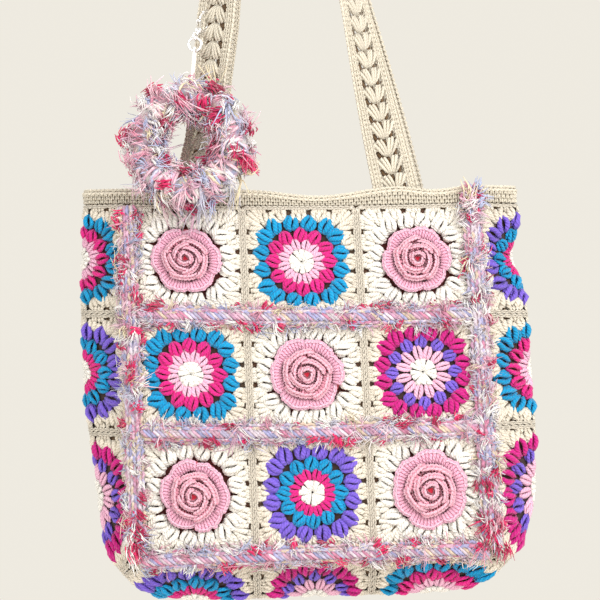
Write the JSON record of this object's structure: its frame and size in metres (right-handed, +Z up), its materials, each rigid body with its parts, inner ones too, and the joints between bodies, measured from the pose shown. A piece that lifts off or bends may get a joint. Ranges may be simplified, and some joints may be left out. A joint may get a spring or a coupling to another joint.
{
  "type": "crochet tote bag with a scrunchie charm",
  "caption": "Tote of crocheted granny squares with raised roses, fluffy seam trim, two openwork straps and a fluffy scrunchie clipped to a strap.",
  "frame": {"origin": "where the straps bear on the peg that the bag hangs from, midway between the two straps", "axes": "+Z up, the front faces -Y, +X to the right in the front view"},
  "size_m": [0.4594, 0.1434, 0.9607],
  "materials": {
    "crochet_squares": "thick cotton crochet in coloured rounds",
    "cream_crochet": "thick cotton single crochet",
    "strap_crochet": "openwork cotton crochet",
    "rose_crochet": "layered cotton crochet petals",
    "fluffy_yarn": "fluffy novelty yarn",
    "scrunchie_yarn": "fluffy novelty yarn",
    "white_cord": "smooth cord",
    "silver_metal": "polished plating"
  },
  "bodies": {
    "bag": {"front_square_1_1": "crochet_squares", "back_square_1_1": "crochet_squares", "front_square_1_2": "crochet_squares", "back_square_1_2": "crochet_squares", "front_square_1_3": "crochet_squares", "back_square_1_3": "crochet_squares", "front_square_2_1": "crochet_squares", "back_square_2_1": "crochet_squares", "front_square_2_2": "crochet_squares", "back_square_2_2": "crochet_squares", "front_square_2_3": "crochet_squares", "back_square_2_3": "crochet_squares", "front_square_3_1": "crochet_squares", "back_square_3_1": "crochet_squares", "front_square_3_2": "crochet_squares", "back_square_3_2": "crochet_squares", "front_square_3_3": "crochet_squares", "back_square_3_3": "crochet_squares", "left_square_1": "crochet_squares", "right_square_1": "crochet_squares", "left_square_2": "crochet_squares", "right_square_2": "crochet_squares", "left_square_3": "crochet_squares", "right_square_3": "crochet_squares", "base_square_1": "crochet_squares", "base_square_2": "crochet_squares", "base_square_3": "crochet_squares", "top_band": "cream_crochet", "rose_1_1": "rose_crochet", "rose_1_3": "rose_crochet", "rose_2_2": "rose_crochet", "rose_3_1": "rose_crochet", "rose_3_3": "rose_crochet", "fluffy_trim_left": "fluffy_yarn", "fluffy_trim_right": "fluffy_yarn", "fluffy_trim_row_1": "fluffy_yarn", "fluffy_trim_row_2": "fluffy_yarn", "fluffy_trim_base": "fluffy_yarn", "front_strap": "strap_crochet", "back_strap": "strap_crochet", "clasp_body": "silver_metal", "swivel": "silver_metal", "split_ring": "silver_metal", "drop_loop": "white_cord", "scrunchie": "scrunchie_yarn"},
    "lever": {"clasp_lever": "silver_metal"}
  },
  "joints": [
    {"name": "lever_hinge", "type": "hinge", "parent": "bag", "child": "lever", "pos_m": [-0.06649, -0.03097, -0.37259], "axis": [0.8442, -0.528, -0.0922], "range_deg": [-20, 0], "stiffness_Nm_per_rad": 0.005, "springref_deg": 11.46}
  ]
}
